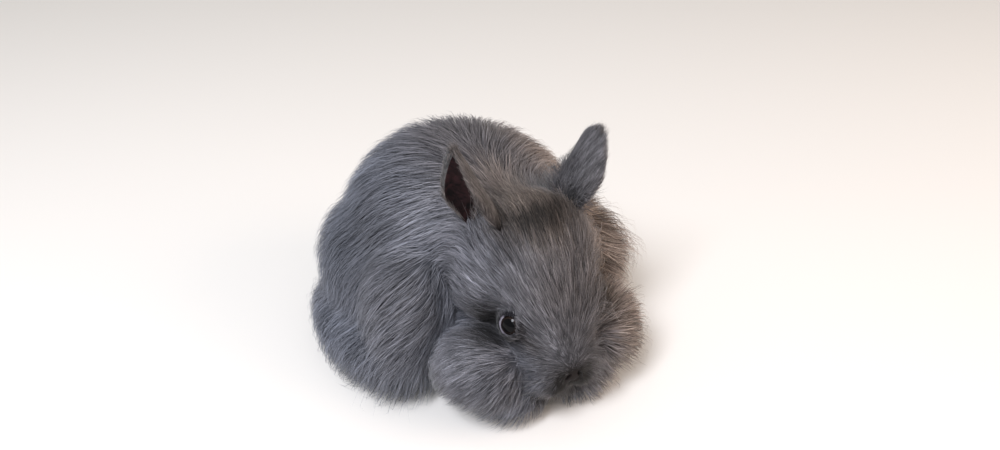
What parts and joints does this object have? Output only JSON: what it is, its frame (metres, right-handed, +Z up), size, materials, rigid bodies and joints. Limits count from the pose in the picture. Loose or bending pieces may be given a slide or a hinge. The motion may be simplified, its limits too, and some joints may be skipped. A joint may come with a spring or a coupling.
{
  "type": "teddy dwarf rabbit",
  "caption": "Young long-coated dwarf rabbit crouched low with its nose near the floor, modelled life size as a still display piece.",
  "frame": {"origin": "on the floor under the middle of the rabbit's box", "axes": "+Z up, -Y the way the rabbit looks, +X its left side, +Y towards its tail"},
  "size_m": [0.1742, 0.1982, 0.1343],
  "materials": {
    "coat_front": "long soft blue-grey hair",
    "coat_back": "long soft warm grey hair",
    "ear": "thin skin with short grey hair",
    "eye": "wet black"
  },
  "bodies": {
    "root": {"head": "coat_front", "neck": "coat_back", "torso": "coat_front", "tail": "coat_back", "foreleg_left": "coat_front", "foreleg_right": "coat_front", "hindleg_left": "coat_back", "hindleg_right": "coat_back", "ear_left": "ear", "ear_right": "ear", "eye_left": "eye", "eye_right": "eye"}
  },
  "joints": []
}
